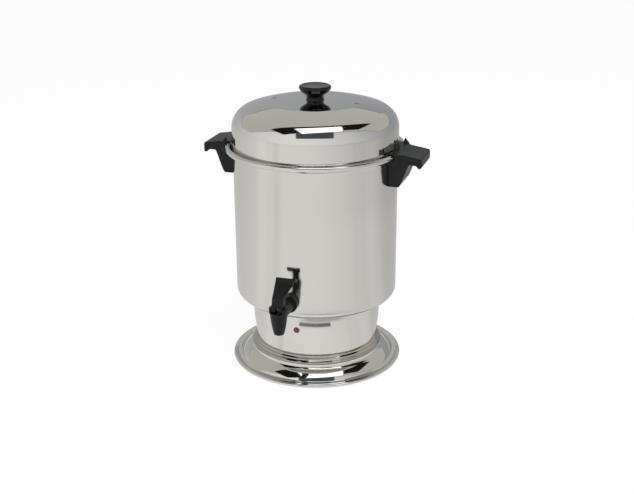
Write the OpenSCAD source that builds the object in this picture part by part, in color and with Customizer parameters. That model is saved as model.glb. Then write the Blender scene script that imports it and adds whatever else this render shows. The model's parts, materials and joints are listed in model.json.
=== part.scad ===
// Percolating coffee urn: a polished steel vessel on a heater housing and a drip base, with a lift-off
// lid, a pump tube and coffee basket inside, a lever tap and two side handles.
// Frame: the urn stands on z = 0 with the tap to -Y and the handles on +X and -X. The origin is the middle
// of its bounding box; the modules are drawn about the vessel's own axis and moved back by frame_y.

/* [Vessel] */
// Outer radius of the vessel wall
body_r = 125; // [115:1:140]
// Height from the underside of the vessel to the ledge that carries the lid
vessel_h = 229.7; // [200:0.1:300]
// Sheet thickness of the vessel
wall = 1; // [0.8:0.1:1.5]
// Outside radius of the rounded edge between wall and floor
bottom_round = 12; // [8:1:16]
// Radius of the rolled bead around the rim
rim_bead_r = 4.2; // [3:0.1:5]
// Free width between the lid skirt and the rim bead
rim_channel = 2.6; // [2:0.1:4]

/* [Base] */
// Outer radius of the drip base
base_r = 133.7; // [130:0.1:150]
// Radius of the rolled bead around the drip base
base_bead_r = 2.6; // [2.2:0.1:3.4]
// Height of the rolled bead above the table
base_clear = 0.4; // [0.3:0.1:2]
// Width of the flat brim inside the bead
brim_w = 11; // [8:0.5:14]
// Height of the swelling skirt above the brim
swell_h = 15; // [12:0.5:20]
// Sheet thickness of the base, housing and trim
sheet = 1; // [0.8:0.1:1.5]
// Step outwards from the foot of the housing to the upstanding wall of the base
foot_step = 6.6; // [5.6:0.1:9]
// Height of that wall above the skirt
foot_wall_h = 4.9; // [3:0.1:10]
// Width of the inner ledge that the bottom plate bears on
base_ledge = 10; // [8:1:14]
// Height of that ledge above the table
base_ledge_z = 7; // [6:0.5:9]
// Height of the stepped trim ring
ring_h = 14.6; // [12:0.1:18]
// Number of rubber feet
foot_count = 4; // [3:1:6]
// Radius of a rubber foot
foot_r = 9; // [6:0.5:11]

/* [Heater housing] */
// Outer radius of the heater housing at its top
neck_r = 99.5; // [92:0.5:104]
// Draw-in of the heater housing from its top to its foot
neck_draw = 4.5; // [2:0.5:7]
// Height of the heater housing
neck_h = 71.4; // [65:0.1:90]
// Height above the table of the indicator lamp
lamp_z = 79.7; // [70:0.1:90]
// Radius of the lamp lens
lamp_r = 5; // [3:0.5:6]
// Height above the table of the cord inlet
inlet_z = 72; // [66:1:80]
// Radius of an inlet pin
pin_r = 2.4; // [2:0.1:3]
// Distance between the inlet pins
pin_pitch = 17.5; // [14:0.5:19]

/* [Lid] */
// Height of the straight skirt
skirt_h = 33.5; // [28:0.5:45]
// Radius of the shoulder between skirt and slope
shoulder_r = 31; // [24:1:36]
// Angle that the shoulder turns through
shoulder_turn = 73; // [70:1:76]
// Radius of the rounded slope above the shoulder
slope_r = 300; // [250:10:500]
// Distance from the axis of the bend between slope and crown
crown_at = 68; // [62:1:72]
// Spherical radius of the crown
crown_r = 1200; // [800:50:2000]
// Sheet thickness of the lid
lid_wall = 1; // [0.8:0.1:1.5]
// Depth of the locating collar below the lid's seat
collar_h = 9; // [5:1:14]
// Distance of each steam vent from the axis
vent_at = 64; // [40:1:80]
// Radius of a steam vent
vent_r = 2.3; // [1:0.1:3]
// Height of the knob above the lid
knob_h = 22.9; // [19:0.1:30]
// Radius of the knob's cap
knob_r = 24.2; // [21:0.1:30]
// Radius of the knob's neck
knob_neck_r = 12.9; // [8:0.1:14]

/* [Handles] */
// Reach of a handle beyond the vessel wall
handle_out = 46; // [42:1:60]
// Half of the grip's width
grip_half = 31; // [24:1:36]
// Half of the width where the grip meets the rim
root_half = 38; // [37:1:44]
// Thickness of the grip plate
grip_t = 11; // [9:0.5:14]
// Height of the down-turned lip at the end of the grip
lip_h = 14.5; // [12.5:0.5:18]
// Slope of the grip, in millimetres of fall per millimetre outwards
grip_slope = 0.16; // [0.05:0.01:0.25]
// Length of the leg below the rim ledge
leg_h = 42; // [38:1:55]

/* [Tap] */
// Distance from the vessel wall to the axis of the tap's barrel
tap_reach = 51; // [46:1:60]
// Height of the tap's shank above the underside of the vessel
tap_up = 26; // [22:1:40]
// Outside radius of the shank
shank_r = 8; // [7:0.5:9]
// Bore radius of the shank
shank_bore_r = 4.2; // [3:0.1:5]
// Radius at the top of the barrel
barrel_r = 13; // [12:0.1:15]
// Radius at the tip of the spout
spout_r = 7.6; // [7:0.1:9]
// Bore radius of the spout
spout_bore_r = 5; // [4:0.1:5.5]
// Radius of the chamber that holds the valve
chamber_r = 8; // [7.5:0.1:9]
// Radius of the valve stem
stem_r = 3; // [2.5:0.1:3.2]
// Height of the bonnet
bonnet_h = 9.3; // [8:0.1:12]
// Width of the lever's foot
lever_w = 17; // [14:0.5:18]
// Height of the lever above its pin
lever_h = 37.2; // [32:0.1:42]
// Width of the lever's thumb plate
thumb_w = 27.4; // [20:0.5:32]
// Offset of the lever's cam nose in front of its pin
cam_reach = 6; // [5:0.1:7]
// Largest tilt of the lever
lever_tilt = 35; // [20:1:40]

/* [Pump and basket] */
// Outer radius of the coffee basket
basket_r = 88; // [70:1:100]
// Height of the coffee basket
basket_h = 62; // [40:1:75]
// Depth of the basket cover's rim below the lid ledge
basket_drop = 14; // [12:1:30]
// Radius of the pump tube
tube_r = 5; // [4:0.1:6]
// Bore radius of the pump tube
tube_bore_r = 4; // [3:0.1:5]
// Stretch of the pump tube above the basket cover
tube_over = 22; // [10:1:40]
// Radius of a drain hole
drain_r = 1.6; // [1:0.1:2]
// Inner radius of the heater well
well_r = 13; // [12:0.5:16]
// Depth of the heater well below the vessel's underside
well_depth = 14; // [12:1:20]

/* [Clearances] */
// Gap between a resting piece and its seat
seat_gap = 0.3; // [0.2:0.05:0.4]
// Radial clearance around a moving stem or pin
run_gap = 0.3; // [0.2:0.05:0.4]
// Radial clearance between fixed pieces
fit_gap = 0.2; // [0.1:0.05:0.3]

/* [Hidden] */
$fn = 96;
eps = 0.01;
far = 400;

// Heights of the stack, from the table up
brim_z = base_clear + base_bead_r + 1.1;
swell_top = brim_z + swell_h;
ring_z = swell_top + foot_wall_h;
neck_z = ring_z + ring_h;
vessel_z = neck_z + neck_h;
floor_z = vessel_z + wall;
ledge_z = vessel_z + vessel_h;
lid_z = ledge_z + seat_gap;

// Rim
ledge_t = 1.2;
skirt_r = body_r + 1;
bead_at = skirt_r + rim_channel + rim_bead_r;
bead_z = ledge_z - 0.4 + rim_bead_r;

// Lid
shoulder_z = lid_z + skirt_h;
shoulder_at = skirt_r - shoulder_r;
slope_x = shoulder_at - (slope_r - shoulder_r) * cos(shoulder_turn);
slope_z = shoulder_z - (slope_r - shoulder_r) * sin(shoulder_turn);
crown_soft = 3;
crown_z = slope_z + sqrt(pow(slope_r, 2) - pow(crown_at - slope_x, 2)) - sqrt(pow(crown_r, 2) - pow(crown_at, 2));
apex_z = crown_z + crown_r;
collar_r = body_r - wall - 1.5;
tab_w = 9;
tab_h = 10;
tab_out = 5;
screw_r = 2;
knob_top = apex_z + knob_h;

// Tap
tap_y = -(body_r + tap_reach);
tap_z = vessel_z + tap_up;
barrel_top = tap_z + 5;
seat_z = tap_z - 14;
spout_z = tap_z - 28;
plug_h = 1.5;
deck_z = barrel_top + 2.3;
lever_foot_r = 3.6;
lever_pin_r = 1.1;
pin_z = deck_z + seat_gap + lever_foot_r;
tongue_half = 2;
slot_half = tongue_half + run_gap;
cup_h = 5;
cup_r = 6;
cup_z = seat_z + seat_gap;
spring_wire = 0.5;
spring_turns = 5;
spring_r = stem_r + run_gap + spring_wire;
spring_low = cup_z + cup_h;
spring_high = barrel_top - plug_h;
lift = cam_reach * lever_tilt * PI / 180;
shank_flange_r = 13;
shank_flange_t = 5;
gasket_t = 4;

// Distance of the vessel's axis behind the middle of the bounding box
frame_y = (body_r + tap_reach + barrel_r + 1.4 - bead_at - rim_bead_r) / 2;

// Handles
handle_reach = body_r + handle_out;
leg_low = ledge_z - leg_h;
grip_root = body_r + 6;
grip_top = bead_z + rim_bead_r + 1.3;
bead_fit = rim_bead_r + fit_gap;
screw_len = 13;
screw_head_r = 4.5;
screw_head_h = 2.2;
screw_seal_t = 1.6;
screw_face = body_r - wall - screw_seal_t;
handle_screw_z = [leg_low + 9, ledge_z - collar_h - screw_head_r - 3];

// Pump and basket
well_wall = 1;
well_low = vessel_z - well_depth;
well_flange_r = well_r + 11;
gasket_h = 1.5;
tube_foot = well_low + well_wall + seat_gap;
cover_t = 1;
basket_top = ledge_z - basket_drop;
basket_low = basket_top - basket_h;
basket_rim = 3;
sleeve_gap = 0.5;
sleeve_t = 1.2;
tube_top = basket_top + tube_over;
stop_h = 3;
stop_z = basket_low - seat_gap - stop_h;
ring_step = 12;
first_ring = tube_r + 17;

// Base
neck_foot_r = neck_r - neck_draw;
foot_wall_r = neck_foot_r + foot_step;
base_bead_at = base_r - base_bead_r;
tie_r = 2.5;
tie_at = neck_foot_r - 25;
tie_angles = [45, 165, 285];
plate_r = foot_wall_r - sheet - 2;
plate_z = base_ledge_z - sheet - sheet;
element_r = 3.2;
warm_at = tie_at - 12;
element_leg = 14;
element_leg_r = element_r - 0.8;
perk_at = well_r + well_wall + 0.2 + element_r;
perk_z = well_low + element_r;
inlet_w = 32;
inlet_h = 22;
inlet_wall = 2.5;
inlet_depth = 17;
inlet_out = 3;
pin_tail = 6;

// Points along an arc about (x, z)
function arc(x, z, r, from, to, steps) =
    [for (i = [0:steps]) let (a = from + (to - from) * i / steps) [x + r * cos(a), z + r * sin(a)]];

// The same points in the other direction
function flip(points) = [for (i = [len(points) - 1:-1:0]) points[i]];

// Outline of the lid's shoulder, slope and crown, set in by a distance
slope_turn = acos((crown_at + crown_soft - slope_x) / slope_r);
function lid_curve(inset) = concat(
    arc(shoulder_at, shoulder_z, shoulder_r - inset, 0, shoulder_turn - 6, 11),
    arc(slope_x, slope_z, slope_r - inset, shoulder_turn, slope_turn, 4),
    arc(0, crown_z, crown_r - inset, acos((crown_at - crown_soft) / crown_r), 90, 4)
);

// Slopes of the skirt in degrees, from its shallow top to its steep foot, and points along it set in by
// a distance: a wide bend that runs into a tighter one
swell_slopes = [23, 28, 33, 38, 43, 47, 51, 55, 60];
swell_at = foot_wall_r + 4;
swell_span = [base_bead_at - brim_w - swell_at, swell_h - 3.4];
function swell_run(s) = [
    37 * (sin(min(s, 43)) - sin(23)) + 20 * (sin(max(s, 43)) - sin(43)),
    37 * (cos(23) - cos(min(s, 43))) + 20 * (cos(43) - cos(max(s, 43)))
];
function swell(inset) = [for (s = swell_slopes) let (p = swell_run(s), end = swell_run(60)) [
    swell_at + swell_span.x * p.x / end.x - inset * sin(s),
    brim_z + 0.3 + swell_span.y * (1 - p.y / end.y) - inset * cos(s)
]];

// Radius of the heater housing's outside at a height
neck_bend_z = vessel_z - 25;
neck_drop = neck_r - neck_foot_r;
neck_fall = neck_bend_z - neck_z;
neck_curve = (neck_fall * neck_fall + neck_drop * neck_drop) / (2 * neck_drop);
function neck_radius(z) = z > neck_bend_z ? neck_r
    : neck_r - neck_curve + sqrt(pow(neck_curve, 2) - pow(neck_bend_z - z, 2));

// Ring with a rectangular section
module ring(inner, outer, z, height) {
    translate([0, 0, z]) difference() {
        cylinder(r = outer, h = height);
        translate([0, 0, -1]) cylinder(r = inner, h = height + 2);
    }
}

// Cylinder along Y, from y to y + length
module along_y(r, y, length) {
    translate([0, y, 0]) rotate([-90, 0, 0]) cylinder(r = r, h = length);
}

// Cylinder along X, from x to x + length
module along_x(r, x, length) {
    translate([x, 0, 0]) rotate([0, 90, 0]) cylinder(r = r, h = length);
}

// Copies around the axis
module around(angles) {
    for (a = angles) rotate([0, 0, a]) children();
}

// Rings of holes through a disc
module hole_rings(first, last, low, height) {
    for (r = [first:ring_step:last])
        for (i = [0:floor(r * 0.42)])
            rotate([0, 0, 360 * i / (floor(r * 0.42) + 1)])
                translate([r, 0, low]) cylinder(r = drain_r, h = height, $fn = 20);
}

// Lead that drops, turns to a level run and drops again, from one point to another
module lead(start, end, level, r) {
    bend = 3;
    run = [end.x - start.x, end.y - start.y];
    translate([start.x, start.y, 0]) rotate([0, 0, atan2(run.y, run.x)]) {
        translate([0, 0, level + bend]) cylinder(r = r, h = start.z - level - bend, $fn = 24);
        translate([bend, 0, level + bend]) rotate([-90, 0, 0]) rotate([0, 0, 90])
            rotate_extrude(angle = 90) translate([bend, 0]) circle(r = r, $fn = 24);
        translate([bend, 0, level]) rotate([0, 90, 0]) cylinder(r = r, h = norm(run) - 2 * bend, $fn = 24);
        translate([norm(run) - bend, 0, level - bend]) rotate([90, 0, 0])
            rotate_extrude(angle = 90) translate([bend, 0]) circle(r = r, $fn = 24);
        translate([norm(run), 0, end.z]) cylinder(r = r, h = level - bend - end.z, $fn = 24);
    }
}

// Vessel: wall, floor, ledge for the lid and rolled rim in one drawn piece
module reservoir() {
    inner_round = bottom_round - wall;
    round_z = vessel_z + bottom_round;
    color("gainsboro") difference() {
        union() {
            rotate_extrude() polygon(concat(
                [[0, vessel_z]],
                arc(body_r - bottom_round, round_z, bottom_round, -90, 0, 8),
                [[body_r, ledge_z - ledge_t], [bead_at, ledge_z - ledge_t], [bead_at, ledge_z]],
                [[body_r - wall, ledge_z]],
                flip(arc(body_r - bottom_round, round_z, inner_round, -90, 0, 8)),
                [[0, floor_z]]
            ));
            rotate_extrude() translate([bead_at, bead_z]) circle(r = rim_bead_r, $fn = 32);
        }
        translate([0, 0, vessel_z - 1]) cylinder(r = well_r + well_wall + fit_gap, h = wall + 2);
        translate([0, 0, tap_z]) along_y(shank_r + fit_gap, -body_r - 5, 12);
        around([0, 180]) for (z = handle_screw_z)
            translate([0, 0, z]) along_x(screw_r + fit_gap, body_r - 5, 8);
    }
}

// Cup in the middle of the floor that the pump stands in
module heater_well() {
    flange_low = floor_z + gasket_h;
    color("silver") rotate_extrude() polygon([
        [0, well_low], [well_r + well_wall, well_low], [well_r + well_wall, flange_low],
        [well_flange_r, flange_low], [well_flange_r, flange_low + well_wall],
        [well_r, flange_low + well_wall], [well_r, well_low + well_wall], [0, well_low + well_wall]
    ]);
}

module well_gasket() {
    color("white") ring(well_r + well_wall + fit_gap, well_flange_r - 1, floor_z, gasket_h);
}

module well_nut() {
    color("silver") difference() {
        translate([0, 0, vessel_z - 5]) cylinder(r = well_r + 8, h = 5, $fn = 6);
        translate([0, 0, vessel_z - 6]) cylinder(r = well_r + well_wall + 0.1, h = 7);
    }
}

// Tubular heater clamped around the well
module perk_element() {
    color("dimgray") {
        rotate_extrude() translate([perk_at, perk_z]) circle(r = element_r, $fn = 24);
        for (s = [-1, 1])
            translate([perk_at, s * 5, perk_z - element_leg]) cylinder(r = element_leg_r, h = element_leg);
    }
}

// Tubular heater brazed under the floor
module keep_warm_element() {
    warm_z = vessel_z - element_r;
    color("dimgray") {
        rotate_extrude() translate([warm_at, warm_z]) circle(r = element_r, $fn = 24);
        for (s = [-1, 1])
            rotate([0, 0, s * 6]) translate([warm_at, 0, warm_z - element_leg])
                cylinder(r = element_leg_r, h = element_leg);
    }
}

thermo_at = [-36, 0];
module thermostat() {
    color("tan") translate([thermo_at.x, thermo_at.y, vessel_z - 11]) {
        cylinder(r = 9, h = 11);
        for (s = [-1, 1]) translate([s * 4 - 0.4, -3, -6]) cube([0.8, 6, 6]);
    }
}

// Ceramic block on the bottom plate where the leads meet
block_at = [20, 34];
block_size = [44, 16, 16];
block_hole = 10;
lead_r = 1;
module terminal_block() {
    color("ivory") translate([block_at.x - block_size.x / 2, block_at.y - block_size.y / 2, plate_z + sheet])
        difference() {
            cube(block_size);
            for (i = [0:3]) translate([7 + 10 * i, block_size.y / 2, block_size.z - block_hole])
                cylinder(r = lead_r + 0.1, h = block_hole + 1);
        }
}

// Leads from the heaters, thermostat, lamp and inlet down to the block
module lead_wires() {
    top = plate_z + sheet + block_size.z;
    level = top + 9;
    starts = [
        [perk_at, 5, perk_z - element_leg - 0.1],
        [warm_at * cos(6), warm_at * sin(6), vessel_z - element_r - element_leg - 0.1],
        [thermo_at.x + 4, thermo_at.y, vessel_z - 17.1],
        [pin_pitch / 2, pin_end + 2, inlet_z - pin_r - 0.1]
    ];
    color("firebrick") for (i = [0:3])
        lead(starts[[1, 3, 0, 2][i]],
            [block_at.x - block_size.x / 2 + 7 + 10 * i, block_at.y, top - block_hole], level + 4 * i, lead_r);
}

// Rods that clamp the housing and base between vessel and bottom plate
module tie_rods() {
    color("silver") around(tie_angles)
        translate([tie_at, 0, plate_z - 3.4]) cylinder(r = tie_r, h = vessel_z - plate_z + 3.4);
}

module tie_nuts() {
    color("silver") around(tie_angles) translate([tie_at, 0, plate_z - 3]) difference() {
        cylinder(r = 5, h = 3, $fn = 6);
        translate([0, 0, -1]) cylinder(r = tie_r + 0.05, h = 5);
    }
}

// Housing below the vessel: straight at the top, drawn in towards its foot
module neck_shell() {
    low = [for (i = [0:8]) let (z = neck_z + neck_fall * i / 8) [neck_radius(z), z]];
    inner = [for (p = low) [p.x - sheet, p.y]];
    color("gainsboro") difference() {
        rotate_extrude() polygon(concat(
            low, [[neck_r, vessel_z], [neck_r - sheet, vessel_z]], flip(inner)
        ));
        translate([0, 0, lamp_z]) along_y(lamp_r - 0.8 + fit_gap, -neck_r - 5, 12);
        translate([0, neck_r - 4, inlet_z])
            cube([inlet_w - 4 + 2 * fit_gap, 20, inlet_h - 4 + 2 * fit_gap], center = true);
    }
}

// Trim ring in two steps with a rolled lip, between housing and base
module base_ring() {
    lip = 1.4;
    steps = [for (p = [[-2.3, 14.6], [1.3, 14.6], [1.3, 10.2], [3.4, 9.4], [3.4, 5.6], [4.9, 4.6], [4.9, 0]])
        [neck_foot_r + p.x, ring_z + p.y * ring_h / 14.6]];
    inner = [for (p = [[3.4, 0], [3.4, 3.2], [1.9, 4.2], [1.9, 8.2], [-0.2, 9], [-0.2, 12], [-2.3, 13.2]])
        [neck_foot_r + p.x, ring_z + p.y * ring_h / 14.6]];
    color("gainsboro") union() {
        rotate_extrude() polygon(concat(steps, inner));
        rotate_extrude() polygon([
            [neck_foot_r + 3.4, ring_z], [foot_wall_r - 0.4, ring_z],
            [foot_wall_r - 0.4, ring_z + 1.8], [neck_foot_r + 4, ring_z + 3]
        ]);
        rotate_extrude() translate([foot_wall_r - 0.4, ring_z + lip]) circle(r = lip, $fn = 24);
    }
}

// Drip base: upstanding wall with an inner ledge, swelling skirt, flat brim and rolled edge
module base_flange() {
    color("gainsboro") union() {
        rotate_extrude() polygon(concat(
            [[foot_wall_r - sheet, ring_z], [foot_wall_r, ring_z], [foot_wall_r, swell_top]],
            [[foot_wall_r + 0.4, swell_top - 1.2], [foot_wall_r + 1.6, swell_top - 2.2]],
            swell(0),
            [[base_bead_at - brim_w + 1.4, brim_z], [base_bead_at - 4.7, brim_z]],
            [[base_bead_at - 2.9, brim_z + 1], [base_bead_at - 0.8, brim_z + 0.5]],
            [[base_bead_at - 0.8, brim_z - sheet - 0.4], [base_bead_at - 3.6, brim_z - sheet]],
            [[base_bead_at - brim_w + 0.8, brim_z - sheet]],
            flip(swell(sheet)),
            [[foot_wall_r, swell_top - 3.2], [foot_wall_r, base_ledge_z - sheet]],
            [[foot_wall_r - base_ledge, base_ledge_z - sheet], [foot_wall_r - base_ledge, base_ledge_z]],
            [[foot_wall_r - sheet, base_ledge_z]]
        ));
        rotate_extrude() translate([base_bead_at, base_clear + base_bead_r])
            circle(r = base_bead_r, $fn = 32);
    }
}

// Plate that closes the housing from below, with slots for cooling air
module bottom_plate() {
    color("silver") difference() {
        translate([0, 0, plate_z]) cylinder(r = plate_r, h = sheet);
        around(tie_angles) translate([tie_at, 0, plate_z - 1]) cylinder(r = tie_r + fit_gap, h = sheet + 2);
        around([for (i = [0:11]) 30 * i + 15]) translate([18, -1.5, plate_z - 1]) cube([16, 3, sheet + 2]);
        around([for (i = [0:foot_count - 1]) 360 * (i + 0.5) / foot_count])
            translate([plate_r - foot_r - 3, 0, plate_z - 1]) cylinder(r = 3 + fit_gap, h = sheet + 2);
    }
}

// Rubber feet, each with a stem pushed through the bottom plate
module foot_pads() {
    color("black") around([for (i = [0:foot_count - 1]) 360 * (i + 0.5) / foot_count])
        translate([plate_r - foot_r - 3, 0, 0]) {
            cylinder(r1 = foot_r - 1, r2 = foot_r, h = 1);
            translate([0, 0, 1 - eps]) cylinder(r = foot_r, h = plate_z - 1 + eps);
            cylinder(r = 3, h = plate_z + sheet + 0.2);
            translate([0, 0, plate_z + sheet]) cylinder(r1 = 4, r2 = 2.5, h = 3);
        }
}

// Round lens with a flat flange behind the housing wall
module lamp_lens() {
    bulge = 1.6;
    color("darkred") translate([0, 0, lamp_z]) {
        difference() {
            intersection() {
                translate([0, -neck_r - bulge + lamp_r * 1.6, 0]) sphere(r = lamp_r * 1.6);
                along_y(lamp_r, -neck_r - 5, 12);
            }
            translate([0, 0, -20]) cylinder(r = neck_r + 0.05, h = 40);
        }
        along_y(lamp_r - 0.8, -neck_r - 0.5, 8);
    }
}

module lamp_body() {
    color("ivory") translate([0, 0, lamp_z]) {
        along_y(lamp_r - 0.8, -neck_r + 7.5, 16);
        along_y(lamp_r + 2, -neck_r + 7.5, 2);
        for (s = [-1, 1]) translate([s * 2 - 0.4, -neck_r + 23.5, -1.5]) cube([0.8, 6, 3]);
    }
}

// Moulded socket for the cord's connector, open to the back, with a flange outside the housing wall
inlet_back = neck_radius(inlet_z) + inlet_out;
pin_end = inlet_back - inlet_depth - inlet_wall - pin_tail;
module power_inlet() {
    wall_out = [for (i = [-6:6]) let (z = inlet_z + i * inlet_h / 10) [neck_radius(z) + seat_gap, z]];
    color("dimgray") difference() {
        union() {
            difference() {
                translate([-inlet_w / 2, inlet_back - inlet_out - 4, inlet_z - inlet_h / 2])
                    cube([inlet_w, inlet_out + 4, inlet_h]);
                rotate_extrude() polygon(concat([[0, wall_out[0].y]], wall_out, [[0, wall_out[12].y]]));
            }
            translate([-inlet_w / 2 + 2, inlet_back - inlet_depth - inlet_wall, inlet_z - inlet_h / 2 + 2])
                cube([inlet_w - 4, inlet_depth + inlet_wall - 0.5, inlet_h - 4]);
        }
        translate([0, 0, inlet_z]) {
            translate([-inlet_w / 2 + 2 + inlet_wall, inlet_back - inlet_depth, -inlet_h / 2 + 2 + inlet_wall])
                cube([inlet_w - 4 - 2 * inlet_wall, inlet_depth + 1, inlet_h - 4 - 2 * inlet_wall]);
            for (s = [-1, 1]) translate([s * pin_pitch / 2, 0, 0])
                along_y(pin_r + 0.02, inlet_back - inlet_depth - inlet_wall - 1, inlet_wall + 2);
        }
    }
}

module inlet_pins() {
    color("silver") translate([0, 0, inlet_z]) for (s = [-1, 1]) translate([s * pin_pitch / 2, 0, 0]) {
        along_y(pin_r, pin_end, inlet_back - 2 - pin_end);
        translate([0, inlet_back - 2, 0]) sphere(r = pin_r);
    }
}

// Handle on the +X side: grip plate with a down-turned lip, a leg along the wall and two lid guides
module handle() {
    tip_top = grip_top - grip_slope * (handle_reach - grip_root);
    under = tip_top - grip_t + 0.8;
    lip_low = tip_top - lip_h;
    lip_t = 6.5;
    root_x = body_r - 6;
    difference() {
        union() {
            intersection() {
                rotate([90, 0, 0]) linear_extrude(height = 2 * root_half, center = true) polygon([
                    [root_x, grip_top + grip_slope * (grip_root - root_x)],
                    [handle_reach - 2, tip_top + 2 * grip_slope], [handle_reach, tip_top - 2],
                    [handle_reach, lip_low + 2], [handle_reach - 2, lip_low],
                    [handle_reach - lip_t + 1.5, lip_low], [handle_reach - lip_t, lip_low + 2],
                    [handle_reach - lip_t - 1, under - 1], [handle_reach - lip_t - 3, under],
                    [root_x, under]
                ]);
                translate([0, 0, leg_low]) linear_extrude(height = far / 4) polygon([
                    [root_x, -root_half], [bead_at + 1, -root_half], [bead_at + 9, -grip_half],
                    [handle_reach - 2, -grip_half], [handle_reach, -grip_half + 3],
                    [handle_reach, grip_half - 3], [handle_reach - 2, grip_half],
                    [bead_at + 9, grip_half], [bead_at + 1, root_half], [root_x, root_half]
                ]);
            }
            intersection() {
                rotate([90, 0, 0]) linear_extrude(height = 2 * grip_half, center = true) polygon([
                    [root_x, under + 2], [body_r + 29, under + 2], [body_r + 27, under - 0.5],
                    [body_r + 25.6, under - 3], [body_r + 14.5, leg_low + 3],
                    [body_r + 12, leg_low], [root_x, leg_low]
                ]);
                translate([0, 0, leg_low - 1]) linear_extrude(height = far / 4) polygon([
                    [root_x, -grip_half], [body_r + 17, -grip_half], [body_r + 30, -grip_half + 2],
                    [body_r + 30, grip_half - 2], [body_r + 17, grip_half], [root_x, grip_half]
                ]);
            }
            for (s = [-1, 1]) translate([0, s * (root_half - 1.5), 0]) rotate([90, 0, 0])
                linear_extrude(height = 3, center = true) polygon([
                    [skirt_r + 2.5, grip_top - 1], [skirt_r + 12, grip_top - 2],
                    [skirt_r + 5.5, grip_top + 6], [skirt_r + 3.5, grip_top + 6]
                ]);
        }
        translate([0, 0, leg_low - 5]) cylinder(r = body_r + fit_gap, h = leg_h + 10);
        rotate_extrude() polygon([
            [0, ledge_z - ledge_t - fit_gap], [bead_at, ledge_z - ledge_t - fit_gap],
            [bead_at, bead_z + bead_fit], [skirt_r + 1.7, bead_z + bead_fit],
            [skirt_r + 1.7, far], [0, far]
        ]);
        rotate_extrude() translate([bead_at, bead_z]) circle(r = bead_fit, $fn = 32);
        for (z = handle_screw_z) translate([0, 0, z]) along_x(screw_r + 0.05, screw_face, screw_len + 0.6);
    }
}

module handle_right() {
    color("black") handle();
}

module handle_left() {
    color("black") rotate([0, 0, 180]) handle();
}

// Screws through the vessel wall into the legs, with their heads inside
module handle_screws() {
    head_x = screw_face - screw_head_h;
    color("silver") around([0, 180]) for (z = handle_screw_z) translate([0, 0, z]) {
        along_x(screw_r, head_x, screw_len + screw_head_h);
        along_x(screw_head_r, head_x, screw_head_h);
    }
}

// Flat rubber washers under the screw heads, bearing on the curved wall at their edges
module screw_seals() {
    seal_r = screw_head_r + 0.8;
    face = sqrt(pow(body_r - wall, 2) - seal_r * seal_r);
    color("white") around([0, 180]) for (z = handle_screw_z) translate([0, 0, z]) difference() {
        along_x(seal_r, screw_face, face - screw_face);
        along_x(screw_r + 0.05, body_r - 6, 8);
    }
}

// Tap body: shank, flange against the wall, barrel with valve seat, tapered spout
module tap_body() {
    flange_y = -body_r - gasket_t;
    barrel = concat(
        [[0, spout_z], [spout_r - 0.8, spout_z], [spout_r, spout_z + 0.8]],
        [for (i = [1:6]) let (t = i / 6)
            [spout_r + (barrel_r - spout_r) * (t + 0.12 * sin(180 * t)), spout_z + (barrel_top - spout_z) * t]],
        [[0, barrel_top]]
    );
    color("#202020") difference() {
        union() {
            translate([0, tap_y, 0]) rotate_extrude() polygon(barrel);
            translate([0, 0, tap_z]) {
                along_y(shank_r + 1.5, tap_y, flange_y - tap_y);
                along_y(shank_flange_r, flange_y - shank_flange_t, shank_flange_t);
                along_y(shank_r, flange_y - 1, gasket_t + 14);
            }
        }
        translate([0, tap_y, seat_z]) cylinder(r = chamber_r, h = barrel_top - seat_z + 1);
        translate([0, tap_y, barrel_top]) cylinder(r = barrel_r + 1.4 + fit_gap, h = 20);
        translate([0, tap_y, spout_z - 1]) cylinder(r = spout_bore_r, h = seat_z - spout_z + 2);
        translate([0, 0, tap_z]) along_y(shank_bore_r, tap_y, tap_reach + 20);
    }
}

module tap_gasket() {
    color("white") difference() {
        translate([0, 0, tap_z]) along_y(shank_flange_r - 0.5, -body_r - gasket_t, gasket_t + 2);
        translate([0, 0, tap_z]) along_y(shank_r + 0.05, -body_r - gasket_t - 1, gasket_t + 6);
        translate([0, 0, tap_z - 20]) cylinder(r = body_r, h = 40);
    }
}

// Flat washer inside the vessel, bearing on the curved wall at its edges
washer_y = -(body_r - wall) + 2.5;
module tap_washer() {
    washer_r = shank_flange_r - 0.5;
    face = -sqrt(pow(body_r - wall, 2) - washer_r * washer_r);
    color("white") translate([0, 0, tap_z]) difference() {
        along_y(washer_r, face, washer_y - face);
        along_y(shank_r + 0.05, face - 1, 8);
    }
}

module tap_nut() {
    color("silver") translate([0, 0, tap_z]) difference() {
        translate([0, washer_y, 0]) rotate([-90, 0, 0]) cylinder(r = shank_r + 5.5, h = 6, $fn = 6);
        along_y(shank_r + 0.05, washer_y - 1, 9);
    }
}

// Bonnet: cap of the barrel, slotted across for the lever's foot
module tap_bonnet() {
    color("#1a1a1a") translate([0, tap_y, 0]) difference() {
        union() {
            rotate_extrude() polygon([
                [0, barrel_top], [barrel_r + 0.2, barrel_top], [barrel_r + 1.2, barrel_top + 1.5],
                [barrel_r + 1.4, barrel_top + bonnet_h - 1.6], [barrel_r - 0.4, barrel_top + bonnet_h],
                [0, barrel_top + bonnet_h]
            ]);
            translate([0, 0, barrel_top - plug_h]) cylinder(r = chamber_r - fit_gap, h = plug_h + 1);
        }
        translate([-lever_w / 2 - 0.4, -20, deck_z]) cube([lever_w + 0.8, 40, bonnet_h]);
        translate([0, 0, barrel_top - 5]) cylinder(r = stem_r + run_gap, h = bonnet_h + 5);
    }
}

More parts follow.
